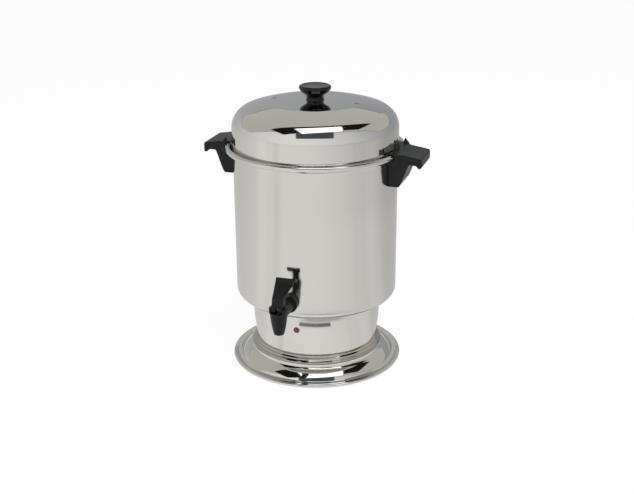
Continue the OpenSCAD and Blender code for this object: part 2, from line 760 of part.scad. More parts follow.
// Stem: round below, with a flat tongue for the lever that stays above the round part at full lift
tongue_z = deck_z - lift - 0.6;
module tap_stem() {
    color("silver") translate([0, tap_y, 0]) difference() {
        union() {
            translate([0, 0, cup_z + 1.5]) cylinder(r = stem_r, h = tongue_z - cup_z - 1.5);
            intersection() {
                translate([0, 0, tongue_z - 1]) cylinder(r = stem_r, h = pin_z - tongue_z + 4);
                union() {
                    translate([-tongue_half, -5, tongue_z - 1])
                        cube([2 * tongue_half, 10, pin_z - tongue_z + 1]);
                    translate([0, 0, pin_z]) along_x(2.6, -tongue_half, 2 * tongue_half);
                }
            }
        }
        translate([0, 0, pin_z]) along_x(lever_pin_r + 0.05, -5, 10);
    }
}

// Rubber cup that closes the valve seat
module seat_cup() {
    color("white") translate([0, tap_y, 0]) difference() {
        rotate_extrude() polygon([
            [0, cup_z], [cup_r - 1, cup_z], [cup_r, cup_z + 1], [cup_r, cup_z + 3],
            [stem_r + 1.6, cup_z + cup_h], [0, cup_z + cup_h]
        ]);
        translate([0, 0, cup_z + 1.5]) cylinder(r = stem_r + 0.02, h = cup_h);
    }
}

// Helical spring between the cup and the bonnet
module tap_spring() {
    steps = 14;
    sides = 8;
    count = spring_turns * steps;
    height = spring_high - spring_low - 2 * spring_wire - 2 * eps;
    points = [for (i = [0:count]) let (a = 360 * i / steps) for (j = [0:sides - 1])
        let (b = 360 * j / sides, r = spring_r + spring_wire * cos(b))
            [r * cos(a), r * sin(a), spring_low + spring_wire + eps + height * i / count + spring_wire * sin(b)]];
    faces = concat(
        [[for (j = [0:sides - 1]) j]],
        [for (i = [0:count - 1]) for (j = [0:sides - 1]) let (k = (j + 1) % sides)
            [i * sides + j, (i + 1) * sides + j, (i + 1) * sides + k, i * sides + k]],
        [[for (j = [sides - 1:-1:0]) count * sides + j]]
    );
    color("silver") translate([0, tap_y, 0]) polyhedron(points = points, faces = faces, convexity = 10);
}

// Lever: slotted foot with a cam nose, and a thumb plate that leans back and flares towards its top
module tap_lever() {
    k = lever_h / 37.2;
    side = concat(
        arc(-cam_reach, 0, lever_foot_r, 270, 150, 6),
        k * [[-6.6, 6.5], [-3.4, 10.5], [3.2, 17.5], [12.5, 26.5], [23.6, 36.6], [24.8, 37.2], [26.6, 35.8]],
        k * [[27, 34.6], [17.2, 23.4], [10, 14.2], [5.6, 7]],
        arc(0, 0, lever_foot_r, 30, -90, 6)
    );
    face = [
        [lever_w / 2, -5], [lever_w / 2, 9 * k], [lever_w / 2 + 0.9, 13 * k], [thumb_w / 2 - 2.2, 20 * k],
        [thumb_w / 2 - 0.7, 27 * k], [thumb_w / 2, 33 * k], [thumb_w / 2 - 0.4, 38 * k]
    ];
    color("#202020") translate([0, tap_y, pin_z]) difference() {
        intersection() {
            rotate([90, 0, 90]) linear_extrude(height = thumb_w + 2, center = true) polygon(side);
            rotate([90, 0, 0]) linear_extrude(height = 80, center = true)
                polygon(concat(face, [for (p = flip(face)) [-p.x, p.y]]));
        }
        along_x(lever_foot_r + 0.5, -slot_half, 2 * slot_half);
        translate([-slot_half, -cam_reach - lever_foot_r - 1, -lever_foot_r - 1])
            cube([2 * slot_half, cam_reach + 2 * lever_foot_r + 2, lever_foot_r + 1]);
        along_x(lever_pin_r + 0.02, -thumb_w, 2 * thumb_w);
    }
}

module lever_pin() {
    color("silver") translate([0, tap_y, pin_z]) along_x(lever_pin_r, -lever_w / 2 + 0.3, lever_w - 0.6);
}

// Pump: tube with a flared foot that traps steam over the well, and a collar that carries the basket
module pump_tube() {
    bell_r = well_r - run_gap - 0.4;
    bell_h = 16;
    color("silver") difference() {
        union() {
            translate([0, 0, tube_foot]) cylinder(r1 = bell_r, r2 = bell_r, h = 4);
            translate([0, 0, tube_foot + 4]) cylinder(r1 = bell_r, r2 = tube_r, h = bell_h - 4);
            translate([0, 0, tube_foot + bell_h - 1]) cylinder(r = tube_r, h = tube_top - tube_foot - bell_h + 1);
            translate([0, 0, stop_z]) cylinder(r1 = tube_r, r2 = tube_r + 4, h = stop_h);
        }
        translate([0, 0, tube_foot - 1]) cylinder(r = tube_bore_r, h = tube_top - tube_foot + 2);
        translate([0, 0, tube_foot - 1]) cylinder(r = bell_r - 1, h = 4.4);
        translate([0, 0, tube_foot + 3.4]) cylinder(r1 = bell_r - 1, r2 = tube_bore_r, h = bell_h - 5);
        for (a = [0:90:270]) rotate([0, 0, a]) translate([0, -2, tube_foot - 1]) cube([far, 4, 3]);
    }
}

// Coffee basket with a drain floor and a sleeve for the pump tube
module basket() {
    sleeve = tube_r + sleeve_gap;
    color("silver") difference() {
        rotate_extrude() polygon([
            [sleeve, basket_low], [basket_r - 6, basket_low], [basket_r - 1.5, basket_low + 4.5],
            [basket_r, basket_top - 3], [basket_r + basket_rim, basket_top - 3],
            [basket_r + basket_rim, basket_top - 1.8], [basket_r - cover_t, basket_top - 1.8],
            [basket_r - 2.6, basket_low + 5], [basket_r - 6.4, basket_low + cover_t],
            [sleeve + sleeve_t, basket_low + cover_t], [sleeve + sleeve_t, basket_top - 8],
            [sleeve, basket_top - 8]
        ]);
        hole_rings(first_ring, basket_r - 10, basket_low - 1, cover_t + 2);
    }
}

// Cover that spreads the water over the grounds
module basket_cover() {
    hub = tube_r + sleeve_gap;
    seat = basket_top - 1.8 + seat_gap;
    color("silver") difference() {
        rotate_extrude() polygon([
            [hub, seat + 1], [hub + 4, seat - 2.5], [basket_r - 6, seat - 2.5], [basket_r - 3.5, seat],
            [basket_r + basket_rim - 0.5, seat], [basket_r + basket_rim - 0.5, seat + cover_t],
            [basket_r - 4, seat + cover_t], [basket_r - 6.5, seat - 1.5], [hub + 4.4, seat - 1.5],
            [hub + 0.8, seat + 5], [hub, seat + 5]
        ]);
        hole_rings(first_ring, basket_r - 14, seat - 5, 8);
    }
}

// Lid: skirt, round shoulder, slope and nearly flat crown, turned in below to a locating collar
module lid_shell() {
    color("gainsboro") difference() {
        rotate_extrude() polygon(concat(
            [[collar_r - lid_wall, lid_z - collar_h], [collar_r, lid_z - collar_h], [collar_r, lid_z]],
            [[skirt_r, lid_z]],
            lid_curve(0),
            flip(lid_curve(lid_wall)),
            [[skirt_r - lid_wall, lid_z + lid_wall], [collar_r - lid_wall, lid_z + lid_wall]]
        ));
        around([0, 180]) translate([vent_at, 0, apex_z - 20]) cylinder(r = vent_r, h = 40);
        translate([0, 0, apex_z - 5]) cylinder(r = screw_r + fit_gap, h = 10);
    }
}

// Rounded tabs on the skirt that sit over the handles
module lid_tabs() {
    tab_z = grip_top + 1.5;
    color("silver") around([0, 180]) difference() {
        translate([skirt_r - 1, 0, tab_z]) rotate([0, 90, 0]) {
            translate([-tab_h + tab_w / 2, 0, 0]) cylinder(r = tab_w / 2, h = tab_out + 1);
            translate([-tab_h + tab_w / 2, -tab_w / 2, 0]) cube([tab_h - tab_w / 2, tab_w, tab_out + 1]);
        }
        translate([0, 0, tab_z - 5]) cylinder(r = skirt_r, h = tab_h + 10);
    }
}

// Knob: short neck under a flat cap with a dished top
module lid_knob() {
    base = apex_z + 0.05;
    cap_z = base + knob_h - 4;
    k = knob_h / 22.9;
    color("black") difference() {
        rotate_extrude() polygon(concat(
            [[0, base], [knob_neck_r, base], [knob_neck_r, base + 4.9 * k]],
            [[knob_neck_r + 1, base + 6.8 * k], [knob_r - 7.1, base + 9.1 * k], [knob_r - 1.4, base + 14.4 * k]],
            arc(knob_r - 3.4, cap_z, 3.4, -30, 90, 8),
            [[knob_r - 5.6, cap_z + 3.4], [knob_r - 6.4, cap_z + 2.6], [0, cap_z + 3]]
        ));
        translate([0, 0, base - 1]) cylinder(r = screw_r + 0.05, h = 11);
    }
}

// Screw through the lid into the knob
module knob_screw() {
    head_h = 2.6;
    washer_t = 0.9;
    head = apex_z - lid_wall - seat_gap - washer_t - head_h;
    color("silver") {
        translate([0, 0, head]) cylinder(r = screw_r, h = 13);
        translate([0, 0, head]) cylinder(r = 5, h = head_h);
        ring(screw_r, 9, head + head_h, washer_t);
    }
}

translate([0, frame_y, 0]) {
    reservoir();
    heater_well();
    well_gasket();
    well_nut();
    perk_element();
    keep_warm_element();
    thermostat();
    terminal_block();
    lead_wires();
    tie_rods();
    tie_nuts();
    neck_shell();
    base_ring();
    base_flange();
    bottom_plate();
    foot_pads();
    lamp_lens();
    lamp_body();
    power_inlet();
    inlet_pins();
    handle_left();
    handle_right();
    handle_screws();
    screw_seals();
    tap_body();
    tap_gasket();
    tap_washer();
    tap_nut();
    tap_bonnet();
    tap_stem();
    seat_cup();
    tap_spring();
    tap_lever();
    lever_pin();
    pump_tube();
    basket();
    basket_cover();
    lid_shell();
    lid_tabs();
    lid_knob();
    knob_screw();
}
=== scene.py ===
import json
import math
import bmesh
import bpy
from mathutils import Matrix, Vector


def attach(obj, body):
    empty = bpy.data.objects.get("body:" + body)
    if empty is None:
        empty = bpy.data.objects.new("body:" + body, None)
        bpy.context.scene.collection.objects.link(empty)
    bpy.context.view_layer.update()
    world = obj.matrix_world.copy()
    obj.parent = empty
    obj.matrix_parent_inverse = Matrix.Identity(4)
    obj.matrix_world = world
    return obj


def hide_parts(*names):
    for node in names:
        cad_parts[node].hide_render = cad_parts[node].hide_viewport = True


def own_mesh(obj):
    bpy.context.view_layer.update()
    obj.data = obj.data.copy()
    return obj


# A percolating coffee urn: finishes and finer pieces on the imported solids, in a pale studio, from the
# photograph's side
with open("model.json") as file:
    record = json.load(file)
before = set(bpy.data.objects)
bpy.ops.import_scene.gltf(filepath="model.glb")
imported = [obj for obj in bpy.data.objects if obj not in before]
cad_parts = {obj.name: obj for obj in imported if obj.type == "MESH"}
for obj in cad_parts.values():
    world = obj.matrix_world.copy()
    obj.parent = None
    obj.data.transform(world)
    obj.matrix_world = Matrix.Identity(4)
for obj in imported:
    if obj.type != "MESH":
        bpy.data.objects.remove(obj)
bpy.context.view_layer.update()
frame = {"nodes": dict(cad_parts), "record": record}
NODES = frame["nodes"]
MM = 0.001       # outlines are written in millimetres
AXIS_Y = 0.0267  # the urn's own axis lies this far behind the origin


def in_scene(name, data):
    """A new object, linked into the scene."""
    obj = bpy.data.objects.new(name, data)
    bpy.context.scene.collection.objects.link(obj)
    return obj


# ------------------------------------------------------------------ camera
# Fitted to the photograph: azimuth to the right of the tap, pitch downwards, and two small corrections
PHOTO_W, FOCAL_PX, SENSOR_MM = 634, 1080, 36.0
AZ, PITCH, YAW, ROLL = (math.radians(angle) for angle in (18.0, 20.75, -0.05, -0.38))
CAM_REACH, CAM_Z = 1.583, 0.7783  # level distance from the urn's axis, and height

cam_data = bpy.data.cameras.new("camera")
cam_data.sensor_width = SENSOR_MM
cam_data.lens = FOCAL_PX / PHOTO_W * SENSOR_MM
cam = in_scene("camera", cam_data)
cam.location = (CAM_REACH * math.sin(AZ), AXIS_Y - CAM_REACH * math.cos(AZ), CAM_Z)
look = Vector((-math.sin(AZ) * math.cos(PITCH), math.cos(AZ) * math.cos(PITCH), -math.sin(PITCH)))
aim = look.to_track_quat("-Z", "Y").to_matrix().to_4x4()
yaw, roll = (Matrix.Rotation(angle, 4, "Z") for angle in (YAW, ROLL))
cam.matrix_world = Matrix.Translation(cam.location) @ yaw @ aim @ roll
bpy.context.scene.camera = cam


# ------------------------------------------------------------ node helpers
class Term:
    """A node's output, so that a formula made of nodes reads as a formula."""

    def __init__(self, tree, socket):
        self.tree, self.socket = tree, socket

    def __add__(self, other):
        return maths("ADD", self, other)

    def __sub__(self, other):
        return maths("SUBTRACT", self, other)

    def __rsub__(self, other):
        return maths("SUBTRACT", other, self)

    def __mul__(self, other):
        return maths("MULTIPLY", self, other)

    def __truediv__(self, other):
        return maths("DIVIDE", self, other)

    def at_least(self, other):
        return maths("MAXIMUM", self, other)

    def at_most(self, other):
        return maths("MINIMUM", self, other)

    def root(self):
        return maths("SQRT", self)

    def clamped(self):
        return term(self.tree, "Clamp", 0, {"Value": self})


def feed(socket, value):
    """Link a term to a socket, or write a plain value on it."""
    if isinstance(value, Term):
        value.tree.links.new(value.socket, socket)
    else:
        socket.default_value = (*value, 1) if socket.type == "RGBA" else value


def add(tree, kind, inputs, **settings):
    """A new node with its settings and its inputs, by name or by number."""
    node = tree.nodes.new("ShaderNode" + kind)
    for key, value in settings.items():
        setattr(node, key, value)
    for key, value in inputs.items():
        feed(node.inputs[key], value)
    return node


def term(tree, kind, output, inputs=None, **settings):
    """One output of a new node."""
    return Term(tree, add(tree, kind, inputs or {}, **settings).outputs[output])


def maths(operation, *values):
    """A Math node, where one value or more is a term."""
    tree = next(value.tree for value in values if isinstance(value, Term))
    return term(tree, "Math", 0, dict(enumerate(values)), operation=operation)


def split(vector):
    """The x, y and z of a vector."""
    return [Term(vector.tree, output) for output in add(vector.tree, "SeparateXYZ", {0: vector}).outputs]


def joined(x, y, z):
    """A vector; x is a term."""
    return term(x.tree, "CombineXYZ", 0, {0: x, 1: y, 2: z})


def noise(vector, scale, detail):
    """A smooth noise between 0 and 1."""
    return term(vector.tree, "TexNoise", "Fac", {"Vector": vector, "Scale": scale, "Detail": detail})


def spread(value, low, high, start=0.0, end=1.0):
    """A value that goes from start to end, mapped to low and high."""
    limits = {"From Min": start, "From Max": end, "To Min": low, "To Max": high}
    return term(value.tree, "MapRange", "Result", {"Value": value, **limits})


def mix(fac, a, b):
    """A colour from a to b."""
    return term(fac.tree, "Mix", "Result", {"Factor": fac, "A": a, "B": b}, data_type="RGBA")


def mix_shader(fac, a, b):
    """A shader from a to b."""
    return term(fac.tree, "MixShader", 0, {"Fac": fac, 1: a, 2: b})


def above(value, low, soft):
    """0 below low, then a soft edge, then 1."""
    return ((value - low) / soft).clamped()


def below(value, high, soft):
    """1, then a soft edge, then 0 above high."""
    return ((high - value) / soft).clamped()


def between(value, low, high, soft):
    """1 between low and high, with a soft edge, 0 outside."""
    return ((value - low) / soft).at_most((high - value) / soft).clamped()


def front_facing(vector, centre=(0, 0, 0)):
    """The x, y and z of a vector, turned so that the camera stands straight in front."""
    return split(term(vector.tree, "VectorRotate", 0, {"Vector": vector, "Center": centre, "Angle": -AZ},
                      rotation_type="Z_AXIS"))


# --------------------------------------------------------------- materials
BUMP_DEPTH = 0.0002       # metres
NOISE_RANGE = (0.3, 0.7)  # what most of a noise lies between
METAL = {"Metallic": 1.0}
ROUND_SCALE = 0.02        # how slowly the spinning marks change round the urn


def new_material(name):
    """A new material with its node tree."""
    mat = bpy.data.materials.new(name)
    mat.use_nodes = True
    return mat


def centred(tree):
    """Object coordinates about the urn's axis."""
    where = term(tree, "TexCoord", "Object")
    return term(tree, "Mapping", "Vector", {"Vector": where, "Location": (0, -AXIS_Y, 0)})


def spun(tree):
    """Coordinates that run round the urn slowly and along its profile quickly."""
    x, y, z = split(centred(tree))
    radius = term(tree, "VectorMath", "Value", {0: joined(x, y, 0.0)}, operation="LENGTH")
    return joined(maths("ARCTAN2", y, x) * ROUND_SCALE, radius, z)


def shade(tint, factor):
    """A colour made darker or lighter."""
    return tuple(channel * factor for channel in tint)


def dress(mat, colour, rough, height, strength, plain, depth=BUMP_DEPTH):
    """Give a shader its colour, roughness and bump, and its plain values by socket."""
    tree = mat.node_tree
    relief = term(tree, "Bump", "Normal", {"Height": height, "Strength": strength, "Distance": depth})
    shader = tree.nodes["Principled BSDF"]
    for key, value in {"Base Color": colour, "Roughness": rough, "Normal": relief, **plain}.items():
        feed(shader.inputs[key], value)
    return mat


def steel(name, tint, rough_low, rough_high, lines):
    """Polished steel: faint clouds in its tint and gloss, and spinning marks."""
    mat = new_material(name)
    cloud = noise(centred(mat.node_tree), scale=9.0, detail=3.0)
    colour = mix(spread(cloud, 0.0, 1.0, *NOISE_RANGE), shade(tint, 0.955), tint)
    marks = noise(spun(mat.node_tree), scale=900.0, detail=2.0)
    return dress(mat, colour, spread(cloud, rough_low, rough_high, *NOISE_RANGE), marks, lines, METAL)


def plain_metal(name, tint, rough):
    """Metal with an even, fine grain."""
    mat = new_material(name)
    grain = noise(centred(mat.node_tree), scale=180.0, detail=4.0)
    colour = mix(grain, shade(tint, 0.9), tint)
    return dress(mat, colour, spread(grain, rough * 0.8, rough * 1.2), grain, 0.05, METAL)


def moulded(name, tint, rough, grain_scale=1400.0, strength=0.08, spec=0.5):
    """Plastic, rubber or ceramic: faint clouds, and the texture of its mould as bump."""
    mat = new_material(name)
    where = centred(mat.node_tree)
    cloud = noise(where, scale=30.0, detail=3.0)
    colour = mix(cloud, shade(tint, 0.8), shade(tint, 1.15))
    gloss = spread(cloud, rough * 0.85, rough * 1.15, *NOISE_RANGE)
    grain = noise(where, grain_scale, detail=2.0)
    return dress(mat, colour, gloss, grain, strength, {"Specular IOR Level": spec})


def lens(name):
    """The lamp's clear red moulding, with small cells."""
    mat = new_material(name)
    cells = noise(centred(mat.node_tree), scale=700.0, detail=1.0)
    colour = mix(cells, (0.10, 0.004, 0.006), (0.22, 0.012, 0.014))
    return dress(mat, colour, 0.12, cells, 0.1, {"Coat Weight": 0.5}, depth=0.0003)


STEEL = steel("polished_steel_vessel", (0.64, 0.63, 0.605), 0.10, 0.16, 0.015)
BRIGHT = steel("polished_steel_bright", (0.66, 0.65, 0.625), 0.04, 0.07, 0.008)
# A darkened, olive copy of the polished steel: painted shade for the dim reflections in the ring's recess
RING_SHADED_STEEL = steel("polished_steel_ring_painted_shade", (0.42, 0.41, 0.365), 0.05, 0.08, 0.008)
PLATED = plain_metal("plated_steel", (0.55, 0.55, 0.54), 0.3)
# Near-black: painted shade for the dark of the vent holes
VENT_PAINTED_SHADE = plain_metal("vent_painted_shade", (0.05, 0.05, 0.05), 0.5)
TABS = plain_metal("stamped_steel", (0.10, 0.10, 0.10), 0.42)
ALU = plain_metal("drawn_aluminium", (0.76, 0.76, 0.77), 0.32)
SHEATH = plain_metal("heater_sheath", (0.16, 0.15, 0.14), 0.5)
BLACK = moulded("black_phenolic", (0.005, 0.0055, 0.0055), 0.36, spec=0.24)
KNOB = moulded("black_phenolic_glossy", (0.003, 0.003, 0.0035), 0.14, 900.0, 0.03, 0.3)
RUBBER = moulded("black_rubber", (0.02, 0.02, 0.02), 0.8, 900.0, 0.2, 0.3)
SILICONE = moulded("white_silicone", (0.72, 0.70, 0.66), 0.55, 500.0, 0.1)
CERAMIC = moulded("ceramic", (0.74, 0.70, 0.60), 0.5, 700.0, 0.15)
SLEEVE = moulded("wire_sleeve", (0.3, 0.05, 0.04), 0.7, 1500.0, 0.4)
LENS = lens("red_lens")

BY_SLOT = {
    "polished_steel": BRIGHT, "plated_steel": PLATED, "aluminium": ALU, "black_plastic": BLACK,
    "black_rubber": RUBBER, "white_rubber": SILICONE, "red_lens": LENS, "ceramic": CERAMIC,
    "heater_sheath": SHEATH, "wire_sleeve": SLEEVE,
}
for subpart in frame["record"]["subparts"]:
    finishes = NODES[subpart["node"]].data.materials
    finishes.clear()
    finishes.append(BY_SLOT[subpart["material_slot"]])
# Both are darker in the photograph than their slots would make them
for name, finish in (("lid_tabs", TABS), ("tap_gasket", RUBBER)):
    NODES[name].data.materials[0] = finish


# ------------------------------------------------------------ mesh helpers
def mesh_of(bm, name):
    """A mesh of a finished bmesh, which is let go."""
    mesh = bpy.data.meshes.new(name)
    bm.to_mesh(mesh)
    bm.free()
    return mesh


def place(mesh, name, body, mat, slot, *nodes):
    """A new piece that rides on a body, in place of the nodes, if any."""
    obj = in_scene(name, mesh)
    mesh.materials.clear()
    mesh.materials.append(mat)
    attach(obj, body)
    if nodes:
        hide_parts(*nodes)
    return obj


def arc(x, z, r, start, end, steps):
    """Points on a circle about (x, z), between two angles in degrees."""
    angles = [math.radians(start + (end - start) * i / steps) for i in range(steps + 1)]
    return [(x + r * math.cos(angle), z + r * math.sin(angle)) for angle in angles]


def arc_from(x, z, r, start, end, steps):
    """The same, from its first point in place of its centre."""
    angle = math.radians(start)
    return arc(x - r * math.cos(angle), z - r * math.sin(angle), r, start, end, steps)


def rise(r, at):
    """The height of a circle above its centre, at a distance to the side."""
    return math.sqrt(r ** 2 - at ** 2)


def bend(start, middle, end):
    """Three points on a curve between start and end, which leans towards middle."""
    return [tuple((1 - t) ** 2 * p + 2 * t * (1 - t) * q + t * t * r for p, q, r in zip(start, middle, end))
            for t in (0.25, 0.5, 0.75)]


def revolve(bm, profile, turns, closed=True, axis_y=0.0):
    """A profile of (radius, height) in millimetres, turned about a vertical axis."""
    rows = []
    for r, z in profile:
        angles = [2 * math.pi * i / turns for i in range(turns if r > 0 else 1)]
        rows.append([bm.verts.new((r * MM * math.cos(angle), axis_y + r * MM * math.sin(angle), z * MM))
                     for angle in angles])
    for a, b in zip(rows, rows[1:] + rows[:1] if closed else rows[1:]):
        if len(a) == len(b) == 1:
            continue
        for i in range(turns):
            j = (i + 1) % turns
            corners = (a[i % len(a)], a[j % len(a)], b[j % len(b)], b[i % len(b)])
            bm.faces.new(tuple(dict.fromkeys(corners)))  # a triangle where a row is one point on the axis


def smooth(bm, sharp=180.0):
    """Smooth shading, apart from edges that turn by more than an angle in degrees."""
    for face in bm.faces:
        face.smooth = True
    for edge in bm.edges:
        edge.smooth = len(edge.link_faces) != 2 or edge.calc_face_angle(0.0) <= math.radians(sharp)


def turned(profile, name, body, mat, slot, node, turns=288, sharp=35.0):
    """A closed outline in millimetres, turned about the urn's axis, in place of a node."""
    bm = bmesh.new()
    revolve(bm, profile, turns, axis_y=AXIS_Y)
    bmesh.ops.recalc_face_normals(bm, faces=bm.faces)
    smooth(bm, sharp)
    place(mesh_of(bm, name), name, body, mat, slot, node)


def rounded(mesh, name, body, node, voxel, passes):
    """A black moulding with its edges rounded over, in place of a node."""
    obj = place(mesh, name, body, BLACK, "black_plastic", node)
    remesh = obj.modifiers.new("remesh", "REMESH")
    remesh.mode = "VOXEL"
    remesh.voxel_size = voxel * MM
    remesh.use_smooth_shade = True
    soften = obj.modifiers.new("smooth", "SMOOTH")
    soften.factor = 0.5
    soften.iterations = passes
    done = bpy.data.meshes.new_from_object(obj.evaluated_get(bpy.context.evaluated_depsgraph_get()))
    obj.modifiers.clear()
    obj.data = done
    done.materials.clear()
    done.materials.append(BLACK)
    for face in done.polygons:
        face.use_smooth = True


# ----------------------------------------------------------- steel vessel
SHEET = 1                                            # thickness of the steel
BODY_R, EDGE_R = 125.0, 12                           # the wall, and the rounding at its foot
VESSEL_Z, OVERHANG_Z, LEDGE_Z = 110.0, 107.7, 339.7  # floor, the edge that hangs over the housing, ledge
BEAD_AT, BEAD_Z, BEAD_R = 132.8, 343.5, 4.15         # middle and radius of the rim bead
vessel = (
    # Underside, rounded lower edge, wall and the ledge that the lid stands on
    [(0, VESSEL_Z), (98.4, VESSEL_Z), (99.6, OVERHANG_Z)]
    + arc(BODY_R - EDGE_R, OVERHANG_Z + EDGE_R, EDGE_R, -90, 0, 16)
    + [(BODY_R, 200), (BODY_R, 280), (BODY_R, 334), (125.25, 336.2), (126.4, 337.6), (128.2, 338.2)]
    # Rolled rim bead, and back over the ledge
    + arc(BEAD_AT, BEAD_Z, BEAD_R, -112, 150, 26)
    + [(127.8, 341.0), (127.2, 340.2), (126.6, LEDGE_Z + 0.02), (BODY_R - SHEET, LEDGE_Z)]
    # Inside
    + [(BODY_R - SHEET, 300), (BODY_R - SHEET, 150)]
    + arc(BODY_R - EDGE_R, VESSEL_Z + EDGE_R, EDGE_R - SHEET, 0, -90, 8) + [(0, VESSEL_Z + SHEET)]
)
turned(vessel, "vessel", "urn", STEEL, "polished_steel", "reservoir")

# -------------------------------------------------------------------- lid
# From the skirt inwards: a round shoulder, a slope and a flatter crown, all arcs
LID_Z, SKIRT_R, COLLAR_R, COLLAR_DEPTH = 340.0, 126.0, 122.5, 9
SHOULDER_R, SHOULDER_Z, SHOULDER_TURN = 31.0, 373.5, 73.0
SLOPE_R, CROWN_R, CROWN_AT = 300.0, 1200.0, 68.0
BEND, BEND_DIP = 3, 0.02  # half the width of the bend between slope and crown, and how far its middle dips
shoulder_at = SKIRT_R - SHOULDER_R
slope_x = shoulder_at - (SLOPE_R - SHOULDER_R) * math.cos(math.radians(SHOULDER_TURN))
slope_z = SHOULDER_Z - (SLOPE_R - SHOULDER_R) * math.sin(math.radians(SHOULDER_TURN))
crown_z = slope_z + rise(SLOPE_R, CROWN_AT - slope_x) - rise(CROWN_R, CROWN_AT)
APEX = crown_z + CROWN_R


def lid_curve(inset, fine):
    """The lid's outline from the skirt to the axis, set in by a distance."""
    slope_end = math.degrees(math.acos((CROWN_AT + BEND - slope_x) / SLOPE_R))
    crown_end = math.degrees(math.acos((CROWN_AT - BEND) / CROWN_R))
    shoulder = arc(shoulder_at, SHOULDER_Z, SHOULDER_R - inset, 0, SHOULDER_TURN, 16 * fine)
    slope = arc(slope_x, slope_z, SLOPE_R - inset, SHOULDER_TURN, slope_end, 6 * fine)
    crown = arc(0, crown_z, CROWN_R - inset, crown_end, 90, 10 * fine)
    middle = (CROWN_AT, crown_z + rise(CROWN_R - inset, CROWN_AT) - BEND_DIP)
    return shoulder + slope[1:] + bend(slope[-1], middle, crown[0]) + crown


lid = (
    # Collar inside the vessel, foot of the skirt and the outside up to the top
    [(COLLAR_R - SHEET, LID_Z - COLLAR_DEPTH), (COLLAR_R, LID_Z - COLLAR_DEPTH), (COLLAR_R, LID_Z)]
    + [(125.6, LID_Z), (SKIRT_R, LID_Z + 0.4), (SKIRT_R, 356)] + lid_curve(0, 2)[:-1] + [(0, APEX)]
    # Inside, back down to the collar
    + [(0, APEX - SHEET)] + lid_curve(SHEET, 1)[:-1][::-1]
    + [(SKIRT_R - SHEET, LID_Z + SHEET), (COLLAR_R - SHEET, LID_Z + SHEET)]
)
turned(lid, "lid", "lid", BRIGHT, "polished_steel", "lid_shell", sharp=40.0)

# Two pierced steam vents with a turned-in edge, set on the unpierced lid in near-black metal as painted shade
# for the dark holes
VENT_AT, VENT_TURNS = 64.0, 32
vent = [(3.2, 0.02), (2.8, 0.2), (2.4, 0.16), (2.2, -0.5), (2.2, -1.2), (0, -1.25)]
for name, side in (("lid_vent_0", -1), ("lid_vent_1", 1)):
    bm = bmesh.new()
    revolve(bm, vent, VENT_TURNS, closed=False)
    smooth(bm)
    at = Matrix.Translation((side * VENT_AT * MM, AXIS_Y, (crown_z + rise(CROWN_R, VENT_AT)) * MM))
    tilt = Matrix.Rotation(math.asin(VENT_AT / CROWN_R) * side, 4, "Y")
    bmesh.ops.transform(bm, verts=bm.verts, matrix=at @ tilt)
    place(mesh_of(bm, name), name, "lid", VENT_PAINTED_SHADE, "polished_steel")

# ------------------------------------------------------------------- knob
KNOB_R, KNOB_LIP_R, KNOB_GAP = 24.2, 3.2, 0.05
knob = (
    [(0, 0), (13.7, 0), (13.7, 0.5), (13.1, 1.5), (12.9, 3.0), (12.9, 5.0), (13.4, 6.4), (14.9, 8.0)]
    + [(17.1, 9.6), (19.8, 11.6), (21.9, 13.6)] + arc(KNOB_R - KNOB_LIP_R, 18.7, KNOB_LIP_R, -42, 90, 14)
    + [(19.8, 22.0), (19.0, 21.7), (18.4, 21.3), (17.6, 21.2), (0, 21.5)]
)
knob = [(r, APEX + KNOB_GAP + z) for r, z in knob]
turned(knob, "knob", "lid", KNOB, "black_plastic", "lid_knob", turns=128, sharp=60.0)

# ---------------------------------------------------- housing, ring, base
neck = [(95.6, 38.6), (96.0, 44), (96.9, 52), (98.0, 60), (98.9, 68), (99.4, 76), (99.5, 84), (99.5, 109.95)]
neck += [(r - SHEET, z) for r, z in reversed(neck)]
turned(neck, "heater_housing", "urn", BRIGHT, "polished_steel", "neck_shell")

STEP_R, RING_LIP_R = 0.7, 2.0
ring = (
    # Two steps and a rolled lip, each a little wider than the one above
    [(92.7, 38.55), (95.0, 38.55), (95.5, 38.35), (97.4, 36.95)]
    + arc(97.2, 36.2, STEP_R, 54, -10, 4) + [(97.95, 34.5), (98.3, 34.2), (100.0, 32.95)]
    + arc(99.8, 32.2, STEP_R, 54, -10, 4) + [(100.55, 30.8), (100.9, 30.45), (102.6, 29.2)]
    + arc(101.9, 27.0, RING_LIP_R, 62, -70, 14)
    # Inside
    + [(100.4, 24.05), (98.5, 24.05), (98.5, 28.5), (97.2, 30.5), (96.2, 33), (95.0, 35.2), (92.7, 37.5)]
)
# The ring's steel is darkened as painted shade
turned(ring, "base_trim_ring", "urn", RING_SHADED_STEEL, "polished_steel", "base_ring", sharp=42.0)

BASE_R = 101.6  # outside of the drip base's upstanding wall
flange = (
    # Top and foot of the wall, and the dish that falls away from it in two arcs
    [(BASE_R - SHEET, 24), (BASE_R, 24), (BASE_R, 19.8), (101.9, 19.3), (104.2, 17.6), (104.8, 17.2)]
    + arc_from(105.6, 16.6, 46, 63, 47, 14) + arc_from(116.1, 9.2, 20, 47, 31, 8)[1:]
    # Flat, and the rolled edge
    + [(120.5, 4.35), (121.6, 4.1), (124, 4.1), (126.4, 4.1), (127.2, 4.4), (128.2, 5.1)]
    + arc(131.1, 3.0, 2.6, 125, -110, 18)
    # Underside, and the inner ledge
    + [(127.4, 2.6), (126.2, 3.0), (121.3, 3.0), (119.8, 3.1), (115.6, 8.3), (111, 11.7), (105.3, 14.9)]
    + [(101.8, 16.0), (BASE_R, 15.8), (BASE_R, 6), (91.6, 6), (91.6, 7), (BASE_R - SHEET, 7)]
)
turned(flange, "drip_base", "urn", BRIGHT, "polished_steel", "base_flange", sharp=50.0)

